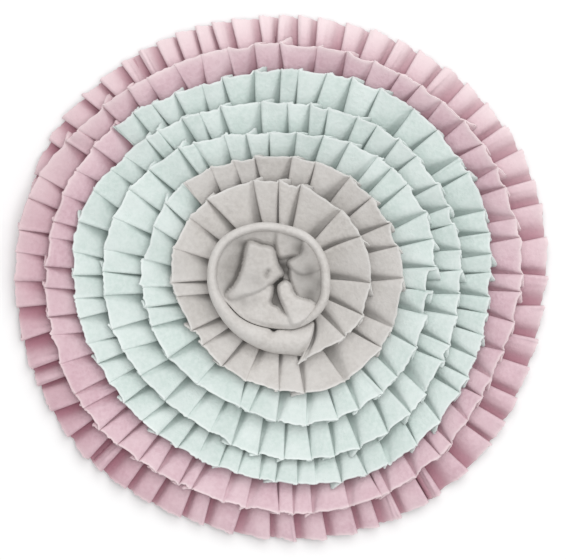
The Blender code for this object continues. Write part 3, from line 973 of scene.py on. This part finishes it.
@dataclass
class Heart:
    """The bunched end of the strip: soft overlapping folds inside the collar."""

    spokes: int = 180
    rings: int = 58
    skirt: int = 5
    floor: float = 17.0
    drop: float = 10.0
    thickness: float = 1.5
    smoothing: int = 2
    spreading: int = 14
    valley: float = 0.95
    valley_depth: float = 5.0
    over_collar: float = 48.0
    closing_height: float = 25.5
    under_rim: float = 1.3
    over_band: float = 2.4
    below_lip: Point = (2.2, 1.2)
    above_lip: float = 1.0
    unrest: float = 1.2
    unrest_scale: float = 0.12
    swell: float = 0.9
    swell_reach: float = 6.0
    puff: float = 0.7
    puff_scale: float = 0.09
    shore_fall: Point = (0.3, 0.62)
    draw_in: float = 5.0
    bulge: float = 1.0
    skirt_drop: float = 9.0
    lit_height: float = 33.0
    deep_shade: float = 0.028
    side_shade: float = 0.4
    slope_shade: float = 0.13
    band_widens: Ease = Ease(7.8, 3)
    closes: Ease = Ease(330, 30)
    settles: Ease = Ease(20, 40)
    sides: Ease = Ease(150, 200)
    shore: Ease = Ease(0.9, 0.1)
    shaded_side: Ease = Ease(12, 12)
    cut: Point = (0.105, 0.105)

    def edge_of(self, turn: float) -> Point:
        """Radius and height of the heart's edge: under the rim, or over the collar's inner end.

        Args:
            turn: the turn of the collar that the edge lies at.

        Returns:
            The radius and the height.
        """
        lip = SPIRAL.collar_point(turn, SPIRAL.lip_part)
        front = self.band_widens.at(SPIRAL.roll.at(turn))
        over = smooth_step((self.over_collar - turn) / self.over_collar)
        radius = blend(lip.x + self.under_rim, lip.x - self.over_band, front)
        below = blend(*self.below_lip, self.settles.at(turn))
        rise = blend(self.above_lip, self.closing_height - lip.y, self.closes.at(turn))
        height = blend(lip.y - below, lip.y + rise, front)
        end = SPIRAL.collar_point(360, SPIRAL.lip_part).x - self.over_band
        return blend(radius, end, over), blend(height, self.closing_height, over)

    def outlines(self) -> list[list[Vector]]:
        """Round the folds' outlines between their corners.

        Returns:
            The points of each outline.
        """
        found = []
        for fold in HEART_FOLDS.values():
            corners = [Vector(cut) for cut in fold.outline]
            loop = corners[-1:] + corners + corners[:2]
            quarters = range(4 * len(corners))
            found.append([smooth_line(loop, (1 + quarter / 4) / (len(loop) - 1)) for quarter in quarters])
        return found

    def inside(self, point: Vector, outline: list[Vector]) -> float:
        """How far inside the outline the point lies.

        Args:
            point: the point on the plan.
            outline: the fold's rounded outline.

        Returns:
            The distance to the outline, or 0 outside it.
        """
        crossings = 0
        nearest = NEVER
        for a, b in zip(outline, outline[1:] + outline[:1]):
            if (a.y > point.y) != (b.y > point.y):
                if point.x < a.x + (b.x - a.x) * (point.y - a.y) / (b.y - a.y):
                    crossings += 1
            side = b - a
            part = min(1.0, max(0.0, (point - a).dot(side) / max(1e-9, side.length_squared)))
            nearest = min(nearest, (a + side * part - point).length)
        return nearest if crossings % 2 else 0.0

    def height_at(self, point: Vector, low: float, outlines: list[list[Vector]]) -> Point:
        """The height of the heart's cloth over a point of the plan, and the shade painted on it.

        Args:
            point: the point on the plan.
            low: the height of the cloth between the folds.
            outlines: the folds' rounded outlines.

        Returns:
            The height in millimetres, and the painted shade from 0 to 1.
        """
        top = low + self.unrest * noise.noise(Vector((point.x, point.y, 0)) * self.unrest_scale)
        # Painted shade on the cloth between the folds: more the lower it lies, and more on the east side.
        shade = self.deep_shade * max(0.0, self.lit_height - low)
        shade += self.side_shade * self.shaded_side.at(point.x)
        for fold, outline in zip(HEART_FOLDS.values(), outlines):
            depth = self.inside(point, outline)
            if depth <= 0:
                continue
            off = point - sum(outline, Vector((0, 0))) / len(outline)
            share = 1 - min(1.0, depth / fold.round_over)
            fall = self.drop * (1 - math.sqrt(1 - share * share))
            swell = self.swell * (1 - math.exp(-depth / self.swell_reach))
            puff = self.puff * noise.noise(Vector((point.x, point.y, fold.height)) * self.puff_scale)
            slope = fold.east * off.x + fold.north * off.y
            z = fold.height + slope + swell + puff - fall
            if z > top:
                top = z
                # A fold's painted shade, more where its top slopes down.
                shade = max(0.0, fold.shade * (1 - self.slope_shade * slope))
        for dimple in DIMPLES:
            off = (point - Vector((dimple.x, dimple.y))).length / dimple.radius
            top -= dimple.depth * math.exp(-off * off)
            # A dimple's painted shade.
            shade += dimple.shade * math.exp(-off * off)
        return top, shade

    def surface(self) -> tuple[list[list[float]], list[list[float]]]:
        """Lay the cloth over the folds, spoke by spoke from its middle to its shoulder.

        Returns:
            Its heights and the shade painted on them.
        """
        outlines = self.outlines()
        flat = self.rings - self.skirt
        tops = []
        shades = []
        for spoke in range(self.spokes):
            turn = 360 * spoke / self.spokes
            edge, shoulder = self.edge_of(turn)
            fall = blend(*self.shore_fall, math.sin(math.pi * self.sides.at(turn)))
            tops.append([])
            shades.append([])
            for ring in range(flat + 1):
                radius = edge * ring / flat
                plan = SPIRAL.place(turn, radius, 0) / MM
                low = max(self.floor, shoulder - fall * (edge - radius))
                z, shade = self.height_at(Vector((plan.x, plan.y)), low, outlines)
                tops[-1].append(blend(z, min(z, shoulder), self.shore.at(ring / flat)))
                shades[-1].append(shade)
        return tops, shades

    def levelled(self, tops: list[list[float]]) -> list[list[float]]:
        """The heights spread out, so that what lies under them is a valley.

        Args:
            tops: the heights, spoke by spoke.

        Returns:
            The spread heights.
        """
        last = len(tops[0]) - 1
        for _ in range(self.spreading):
            tops = [
                [
                    (tops[i - 1][j] + tops[(i + 1) % self.spokes][j] + spoke[j]
                     + spoke[max(0, j - 1)] + spoke[min(last, j + 1)]) / 5
                    for j in range(last + 1)
                ]
                for i, spoke in enumerate(tops)
            ]
        return tops

    def build(self) -> bpy.types.Object:
        """Lay a round sheet over the folds and draw its skirt in to the foot.

        Returns:
            The heart's object.
        """
        flat = self.rings - self.skirt
        tops, shades = self.surface()
        level = self.levelled(tops)
        bm = bmesh.new()
        uv = bm.loops.layers.uv.new("cloth")
        depth = bm.verts.layers.float.new("hollow")
        for vert, along, ring in cloth_grid(bm, self.spokes, self.rings):
            spoke = along % self.spokes
            inner = min(ring, flat)
            turn = 360 * along / self.spokes
            edge, shoulder = self.edge_of(turn)
            z = tops[spoke][inner]
            # Painted shade in the valleys between the folds, added to the shade painted by the folds and
            # dimples.
            valley = smooth_step((level[spoke][inner] - z) / self.valley_depth)
            vert[depth] = min(1.0, self.valley * valley + shades[spoke][inner])
            down = (ring - inner) / self.skirt
            radius = edge * inner / flat - self.draw_in * down * down + self.bulge * math.sin(math.pi * down)
            vert.co = SPIRAL.place(turn, radius, z - self.skirt_drop * down)
        for face in bm.faces:
            face.smooth = True
            for loop in face.loops:
                loop[uv].uv = (loop.vert.co.x + 0.1, loop.vert.co.y + 0.1)
        bmesh.ops.remove_doubles(bm, verts=bm.verts, dist=0.02 * MM)
        for _ in range(self.smoothing):
            bmesh.ops.smooth_vert(
                bm, verts=bm.verts, factor=0.5, use_axis_x=True, use_axis_y=True, use_axis_z=True
            )
        bmesh.ops.recalc_face_normals(bm, faces=bm.faces)
        obj = link_mesh("heart_cloth", bm)
        thicken(obj, self.thickness, -1.0)
        return obj

    def declare(self, obj: bpy.types.Object) -> None:
        """Ride the heart on the root body and hide the CAD part it replaces.

        Args:
            obj: its object.
        """
        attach(obj, "root")
        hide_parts("heart")


@dataclass
class BaseCloth:
    """The round cloth under everything, with a turned hem."""

    radius: float = 172.0
    cloth: float = 1.5
    height: float = 2.5
    hem: float = 9.0
    sides: int = 144

    def section(self) -> tuple[Point, ...]:
        """Cut through the cloth and its hem.

        Returns:
            The radius and height of each corner, from the middle of the top round to below it.
        """
        low = self.height - self.cloth
        inner = self.radius - self.hem
        return (
            (0.0, self.height),
            (inner - 2, self.height),
            (self.radius - 1.2, self.height),
            (self.radius - 0.3, self.height - 0.4),
            (self.radius, self.height / 2),
            (self.radius - 0.3, 0.4),
            (self.radius - 1.2, 0.0),
            (inner + 0.8, 0.0),
            (inner + 0.1, 0.3),
            (inner, low),
            (inner * 0.6, low - 0.1),
            (0.0, low - 0.1),
        )

    def build(self) -> bpy.types.Object:
        """Spin the section of the cloth and its hem into a disc.

        Returns:
            The base's object.
        """
        bm = bmesh.new()
        verts = [bm.verts.new(Vector((radius, 0.0, z)) * MM) for radius, z in self.section()]
        edges = [bm.edges.new(pair) for pair in zip(verts, verts[1:])]
        bmesh.ops.spin(
            bm, geom=verts + edges, cent=(0, 0, 0), axis=(0, 0, 1), angle=math.tau,
            steps=self.sides, use_merge=True, use_duplicate=False,
        )
        bmesh.ops.remove_doubles(bm, verts=bm.verts, dist=0.01 * MM)
        bmesh.ops.recalc_face_normals(bm, faces=bm.faces)
        bmesh.ops.translate(bm, verts=bm.verts, vec=Vector((*SPIRAL.centre, 0)) * MM)
        for face in bm.faces:
            face.smooth = True
        return link_mesh("base_cloth_round", bm)

    def declare(self, obj: bpy.types.Object) -> None:
        """Ride the base on the root body and hide the CAD part it replaces.

        Args:
            obj: its object.
        """
        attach(obj, "root")
        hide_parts("base")


def link_mesh(name: str, bm: bmesh.types.BMesh) -> bpy.types.Object:
    """Turn a bmesh into a linked object at the origin.

    Args:
        name: the object's name.
        bm: the finished bmesh, which is freed.

    Returns:
        The object.
    """
    mesh = bpy.data.meshes.new(name)
    bm.to_mesh(mesh)
    bm.free()
    obj = bpy.data.objects.new(name, mesh)
    bpy.context.scene.collection.objects.link(obj)
    return obj


def thicken(obj: bpy.types.Object, thickness: float, offset: float) -> None:
    """Give a sheet its thickness.

    Args:
        obj: the sheet.
        thickness: its thickness in millimetres.
        offset: 0 for half on either side, and -1 for all of it underneath.
    """
    solid = obj.modifiers.new("thickness", "SOLIDIFY")
    solid.thickness = thickness * MM
    solid.offset = offset


@dataclass
class Nodes:
    """A small helper that adds and joins the nodes of one tree."""

    tree: bpy.types.NodeTree

    def add(self, kind: str, **settings: object) -> bpy.types.Node:
        """Add a node.

        Args:
            kind: its type.
            settings: its properties by name.

        Returns:
            The node.
        """
        node = self.tree.nodes.new(kind)
        for name, value in settings.items():
            setattr(node, name, value)
        return node

    def join(self, source: Link | float | Colour, target: Link) -> None:
        """Feed a socket.

        Args:
            source: the socket it is fed from, or the number or colour it is set to.
            target: the socket.
        """
        if isinstance(source, bpy.types.NodeSocket):
            self.tree.links.new(source, target)
        else:
            target.default_value = (*source, 1.0) if isinstance(source, tuple) else source

    def value(self, operation: str, *values: Link | float) -> Link:
        """Work out a value.

        Args:
            operation: the name of the Math node's operation.
            values: its inputs in order, each a socket or a number.

        Returns:
            The result's socket.
        """
        node = self.add("ShaderNodeMath", operation=operation)
        for value, socket in zip(values, node.inputs):
            self.join(value, socket)
        return node.outputs[0]

    def noise(self, vector: Link, scale: float, detail: float) -> Link:
        """A noise value.

        Args:
            vector: where it is read.
            scale: its scale per metre.
            detail: its octaves.

        Returns:
            The value's socket.
        """
        node = self.add("ShaderNodeTexNoise")
        node.inputs["Scale"].default_value = scale
        node.inputs["Detail"].default_value = detail
        self.join(vector, node.inputs["Vector"])
        return node.outputs["Fac"]

    def span(self, value: Link, low: float, high: float, start: float, end: float) -> Link:
        """Map a value smoothly from low to high onto start to end.

        Args:
            value: the value.
            low: where start is reached.
            high: where end is reached.
            start: the result at low.
            end: the result at high.

        Returns:
            The mapped value's socket.
        """
        node = self.add("ShaderNodeMapRange", interpolation_type="SMOOTHSTEP")
        for name, number in (("From Min", low), ("From Max", high), ("To Min", start), ("To Max", end)):
            node.inputs[name].default_value = number
        self.join(value, node.inputs["Value"])
        return node.outputs["Result"]

    def mix(self, share: Link, first: Link | Colour, second: Link | Colour) -> Link:
        """Mix two colours.

        Args:
            share: the share of the second.
            first: the first colour.
            second: the second colour.

        Returns:
            The mixed colour's socket.
        """
        node = self.add("ShaderNodeMix", data_type="RGBA")
        self.join(share, node.inputs["Factor"])
        self.join(first, node.inputs[6])
        self.join(second, node.inputs[7])
        return node.outputs[2]

    def bump(self, height: Link, strength: float, distance: float, shader: bpy.types.Node) -> None:
        """Bend a shader's normal by a height.

        Args:
            height: the height.
            strength: how strongly, from 0 to 1.
            distance: how high a height of 1 is, in metres.
            shader: the shader.
        """
        node = self.add("ShaderNodeBump")
        node.inputs["Strength"].default_value = strength
        node.inputs["Distance"].default_value = distance
        self.join(height, node.inputs["Height"])
        self.join(node.outputs["Normal"], shader.inputs["Normal"])


def shader_group(name: str, vectors: tuple[str, ...], numbers: tuple[str, ...], *results: str) -> Nodes:
    """Make an empty shader node group with named sockets.

    Args:
        name: the group's name.
        vectors: the names of its vector inputs.
        numbers: the names of its number inputs.
        results: the names of its outputs, all numbers.

    Returns:
        The helper for its tree, with the group's own input and output nodes added.
    """
    tree = bpy.data.node_groups.new(name, "ShaderNodeTree")
    for side, kind, names in (
        ("INPUT", "NodeSocketVector", vectors),
        ("INPUT", "NodeSocketFloat", numbers),
        ("OUTPUT", "NodeSocketFloat", results),
    ):
        for socket in names:
            tree.interface.new_socket(name=socket, in_out=side, socket_type=kind)
    nodes = Nodes(tree)
    nodes.add("NodeGroupInput", name="in")
    nodes.add("NodeGroupOutput", name="out")
    return nodes


def fleece_nap_group() -> bpy.types.NodeTree:
    """The clumped nap of fleece, with its pills: a tone, a soft mottle and a height.

    Returns:
        The node group.
    """
    nodes = shader_group("Fleece nap", ("Vector",), ("Pilling",), "Tone", "Mottle", "Height")
    inside = nodes.tree.nodes["in"].outputs
    out = nodes.tree.nodes["out"].inputs
    clumps = nodes.noise(inside["Vector"], 330.0, 3.0)
    fibres = nodes.noise(inside["Vector"], 1500.0, 4.0)
    mottle = nodes.noise(inside["Vector"], 38.0, 3.0)
    pills = nodes.add("ShaderNodeTexVoronoi", feature="SMOOTH_F1")
    pills.inputs["Scale"].default_value = 420.0
    pills.inputs["Smoothness"].default_value = 0.6
    nodes.join(inside["Vector"], pills.inputs["Vector"])
    pill = nodes.span(pills.outputs["Distance"], 0.0, 0.55, 1.0, 0.0)
    lumps = nodes.value("MULTIPLY", pill, inside["Pilling"])
    height = nodes.value("MULTIPLY_ADD", lumps, 0.5, nodes.value("MULTIPLY_ADD", fibres, 0.5, clumps))
    tone = nodes.value("MULTIPLY_ADD", fibres, 0.4, nodes.span(clumps, 0.3, 0.7, 0.0, 0.6))
    nodes.join(tone, out["Tone"])
    nodes.join(nodes.span(mottle, 0.3, 0.7, 0.0, 1.0), out["Mottle"])
    nodes.join(height, out["Height"])
    return nodes.tree


def cut_edge_group() -> bpy.types.NodeTree:
    """The pale, frayed line along a cut edge, from the cloth's own distance to it.

    Returns:
        The node group.
    """
    nodes = shader_group("Cut edge", ("Cloth", "Vector"), (), "Edge")
    inside = nodes.tree.nodes["in"].outputs
    split = nodes.add("ShaderNodeSeparateXYZ")
    nodes.join(inside["Cloth"], split.inputs[0])
    fray = nodes.noise(inside["Vector"], 900.0, 2.0)
    frayed = nodes.value("MULTIPLY_ADD", fray, -0.0014, split.outputs["Y"])
    nodes.join(nodes.span(frayed, -0.0006, 0.0012, 1.0, 0.0), nodes.tree.nodes["out"].inputs["Edge"])
    return nodes.tree


def new_material(name: str) -> tuple[bpy.types.Material, Nodes, bpy.types.Node]:
    """Start a material.

    Args:
        name: its name.

    Returns:
        The material, the helper for its nodes and its shader.
    """
    slot = bpy.data.materials.new(name)
    slot.use_nodes = True
    return slot, Nodes(slot.node_tree), slot.node_tree.nodes["Principled BSDF"]


@dataclass(frozen=True)
class FleeceFinish:
    """Dyed fleece: the colours of its nap and of its cut edge, which is also painted on as light, and the
    painted shade of its hollows.
    """

    name: str
    nap: Colour
    deep: Colour
    faded: Colour
    edge: Colour
    shaded: Colour
    pilling: float = 0.5
    sheen: float = 0.25
    fading: float = 0.5
    fraying: float = 0.5
    paling: float = 0.8
    shading: float = 0.92

    def build(self, nap_group: bpy.types.NodeTree, edge_group: bpy.types.NodeTree) -> bpy.types.Material:
        """Make the material.

        Args:
            nap_group: the fleece nap group.
            edge_group: the cut edge group.

        Returns:
            The material.
        """
        slot, nodes, shader = new_material(self.name)
        place = nodes.add("ShaderNodeTexCoord").outputs
        nap = nodes.add("ShaderNodeGroup", node_tree=nap_group)
        nap.inputs["Pilling"].default_value = self.pilling
        nodes.join(place["Object"], nap.inputs["Vector"])
        edge = nodes.add("ShaderNodeGroup", node_tree=edge_group)
        nodes.join(place["UV"], edge.inputs["Cloth"])
        nodes.join(place["Object"], edge.inputs["Vector"])
        pale = nodes.add("ShaderNodeAttribute", attribute_name="pale").outputs["Fac"]
        hollow = nodes.add("ShaderNodeAttribute", attribute_name="hollow").outputs["Fac"]
        colour = nodes.mix(nap.outputs["Tone"], self.deep, self.nap)
        colour = nodes.mix(nodes.value("MULTIPLY", nap.outputs["Mottle"], self.fading), colour, self.faded)
        colour = nodes.mix(nodes.value("MULTIPLY", edge.outputs["Edge"], self.fraying), colour, self.edge)
        # The pale attribute: the paler cut rim and outer turn, with painted light on the outer turn's top
        # side.
        colour = nodes.mix(nodes.span(pale, 0.0, 1.0, 0.0, self.paling), colour, self.edge)
        # Painted shade in the grooves and hollows, from the hollow attribute.
        colour = nodes.mix(nodes.value("MULTIPLY", hollow, self.shading), colour, self.shaded)
        nodes.join(colour, shader.inputs["Base Color"])
        nodes.join(nodes.span(nap.outputs["Tone"], 0.0, 1.0, 0.98, 0.88), shader.inputs["Roughness"])
        nodes.bump(nap.outputs["Height"], 0.55, 0.0007, shader)
        shader.inputs["Sheen Weight"].default_value = self.sheen
        shader.inputs["Sheen Roughness"].default_value = 0.45
        shader.inputs["Sheen Tint"].default_value = (*self.faded, 1.0)
        shader.inputs["Specular IOR Level"].default_value = 0.2
        slot.diffuse_color = (*self.nap, 1.0)
        return slot


@dataclass(frozen=True)
class BackingFinish:
    """The base cloth: a close plain weave with a row of stitches along its hem."""

    name: str
    thread: Colour
    gap: Colour
    stitch: Colour
    pilling: float = 0.15
    sheen: float = 0.1
    weave_scale: float = 260.0
    stitch_radius: float = 0.1645
    stitch_width: float = 0.0006
    stitches: float = 260.0

    def stitching(self, nodes: Nodes, where: Link) -> Link:
        """The row of stitches round the hem.

        Args:
            nodes: the material's nodes.
            where: the object's coordinates.

        Returns:
            The socket that is 1 on a stitch and 0 elsewhere.
        """
        centred = nodes.add("ShaderNodeMapping")
        centred.inputs["Location"].default_value = (-SPIRAL.centre[0] * MM, -SPIRAL.centre[1] * MM, 0)
        nodes.join(where, centred.inputs["Vector"])
        split = nodes.add("ShaderNodeSeparateXYZ")
        nodes.join(centred.outputs["Vector"], split.inputs[0])
        x, y = split.outputs["X"], split.outputs["Y"]
        radius = nodes.value("SQRT", nodes.value("MULTIPLY_ADD", x, x, nodes.value("MULTIPLY", y, y)))
        on_row = nodes.value("COMPARE", radius, self.stitch_radius, self.stitch_width)
        dash = nodes.value("SINE", nodes.value("MULTIPLY", nodes.value("ARCTAN2", y, x), self.stitches))
        return nodes.value("MULTIPLY", on_row, nodes.span(dash, -0.5, -0.1, 0.0, 1.0))

    def build(self, nap_group: bpy.types.NodeTree) -> bpy.types.Material:
        """Make the material.

        Args:
            nap_group: the nap group, for the cloth's light fuzz.

        Returns:
            The material.
        """
        slot, nodes, shader = new_material(self.name)
        where = nodes.add("ShaderNodeTexCoord").outputs["Object"]
        nap = nodes.add("ShaderNodeGroup", node_tree=nap_group)
        nap.inputs["Pilling"].default_value = self.pilling
        nodes.join(where, nap.inputs["Vector"])
        threads = []
        for direction in ("X", "Y"):
            wave = nodes.add("ShaderNodeTexWave", bands_direction=direction)
            wave.inputs["Scale"].default_value = self.weave_scale
            wave.inputs["Distortion"].default_value = 0.6
            nodes.join(where, wave.inputs["Vector"])
            threads.append(wave.outputs["Fac"])
        weave = nodes.value("MULTIPLY", *threads)
        stitches = self.stitching(nodes, where)
        colour = nodes.mix(stitches, nodes.mix(weave, self.gap, self.thread), self.stitch)
        nodes.join(colour, shader.inputs["Base Color"])
        nodes.join(nodes.span(nap.outputs["Tone"], 0.0, 1.0, 0.95, 0.82), shader.inputs["Roughness"])
        height = nodes.value("MULTIPLY_ADD", nap.outputs["Height"], 0.3, weave)
        nodes.bump(nodes.value("MULTIPLY_ADD", stitches, 1.5, height), 0.5, 0.0004, shader)
        shader.inputs["Sheen Weight"].default_value = self.sheen
        slot.diffuse_color = (*self.thread, 1.0)
        return slot


# The last colour of each fleece is the painted shade of its hollows.
GREY_FLEECE = FleeceFinish(
    "fleece_grey", (0.62, 0.595, 0.57), (0.50, 0.475, 0.45), (0.68, 0.66, 0.64), (0.80, 0.79, 0.77),
    (0.16, 0.15, 0.14),
)
MINT_FLEECE = FleeceFinish(
    "fleece_mint", (0.69, 0.765, 0.74), (0.565, 0.665, 0.63), (0.76, 0.815, 0.80), (0.86, 0.90, 0.89),
    (0.23, 0.30, 0.28),
)
PINK_FLEECE = FleeceFinish(
    "fleece_pink", (0.72, 0.53, 0.585), (0.60, 0.40, 0.455), (0.78, 0.62, 0.655), (0.88, 0.76, 0.77),
    (0.38, 0.15, 0.20),
)
BASE_BACKING = BackingFinish("backing", (0.62, 0.60, 0.58), (0.42, 0.41, 0.40), (0.80, 0.79, 0.78))


@dataclass
class Studio:
    """Plain floor, soft light and the camera straight above."""

    eye: tuple[float, float, float] = (0.00158, -0.00146, 2.27)
    lens: float = 200.0
    floor_half: float = 4.0
    floor_gap: float = 0.0005
    ambient: float = 0.6

    def floor(self) -> None:
        """Lay the pale floor."""
        bm = bmesh.new()
        bmesh.ops.create_grid(bm, x_segments=2, y_segments=2, size=self.floor_half)
        bmesh.ops.translate(bm, verts=bm.verts, vec=(0.0, 0.0, -self.floor_gap))
        obj = link_mesh("floor", bm)
        slot, _, shader = new_material("floor_white")
        shader.inputs["Base Color"].default_value = (0.93, 0.93, 0.93, 1.0)
        shader.inputs["Roughness"].default_value = 0.9
        obj.data.materials.append(slot)
        obj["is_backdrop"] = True

    def light(self, name: str, size: float, power: float, where: tuple[float, float, float]) -> None:
        """Hang one square softbox that faces the mat.

        Args:
            name: the light's name.
            size: its side in metres.
            power: its power in watts.
            where: its place in metres.
        """
        lamp = bpy.data.lights.new(name, "AREA")
        lamp.size = size
        lamp.energy = power
        obj = bpy.data.objects.new(name, lamp)
        obj.location = where
        obj.rotation_euler = (-Vector(where)).to_track_quat("-Z", "Y").to_euler()
        bpy.context.scene.collection.objects.link(obj)

    def build(self) -> None:
        """Set the floor, the lights, the surroundings and the camera."""
        self.floor()
        self.light("softbox_back", 1.6, 16.0, (0.35, 0.95, 1.7))
        self.light("softbox_top", 1.2, 19.0, (0.25, -0.1, 2.6))
        world = bpy.data.worlds.new("studio")
        world.use_nodes = True
        background = world.node_tree.nodes["Background"]
        background.inputs["Color"].default_value = (1.0, 1.0, 1.0, 1.0)
        background.inputs["Strength"].default_value = self.ambient
        bpy.context.scene.world = world
        camera = bpy.data.cameras.new("camera")
        camera.lens = self.lens
        camera.sensor_width = 36.0
        camera.clip_end = 20.0
        obj = bpy.data.objects.new("camera", camera)
        obj.location = self.eye
        bpy.context.scene.collection.objects.link(obj)
        bpy.context.scene.camera = obj
        bpy.context.scene.view_settings.view_transform = "Standard"


def save_sizes() -> None:
    """Work out the CAD box and the dressed model's box side by side."""
    boxes = [[list(corner) for corner in box] for box in (CAD_BOX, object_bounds())]


def main() -> None:
    """Build and dress every piece in order."""
    logging.basicConfig(level=logging.INFO, format="%(message)s")
    nap = fleece_nap_group()
    edge = cut_edge_group()
    grey = GREY_FLEECE.build(nap, edge)
    mint = MINT_FLEECE.build(nap, edge)
    pink = PINK_FLEECE.build(nap, edge)
    turns = SPIRAL.turns
    grey_start = len(COLLAR)
    mint_start = grey_start + len(GREY)
    pink_start = mint_start + len(MINT)
    first = CollaredStrip("grey_strip", "strip_grey", "grey_fleece")
    second = PleatedStrip("mint_strip", "strip_mint", "mint_fleece")
    third = PleatedStrip(
        "pink_strip", "strip_pink", "pink_fleece", groove_root=0.68, groove_edge=0.13,
        loosens=Ease(SPIRAL.droops.start, 30),
    )
    rng = random.Random(SEED)
    strips = (
        (first, GREY, turns[grey_start : mint_start + 1], grey),
        (second, MINT, turns[mint_start : pink_start + 1], mint),
        (third, PINK, turns[pink_start:], pink),
    )
    for strip, rows, own_turns, slot in strips:
        pleats = strip.pleats(rows, own_turns, rng)
        obj = strip.build(pleats)
        obj.data.materials.append(slot)
        strip.declare(obj)
        wide = strip.depth / MM
        LOG.info("%s: %d pleats, %.2f m by %.1f mm", strip.name, len(pleats), strip.length, wide)
    heart = Heart()
    obj = heart.build()
    obj.data.materials.append(grey)
    heart.declare(obj)
    LOG.info("heart: %d folds, %d faces", len(HEART_FOLDS), len(obj.data.polygons))
    base = BaseCloth()
    obj = base.build()
    obj.data.materials.append(BASE_BACKING.build(nap))
    base.declare(obj)
    LOG.info("base cloth: %d faces", len(obj.data.polygons))
    Studio().build()
    save_sizes()


if __name__ == "__main__":
    main()
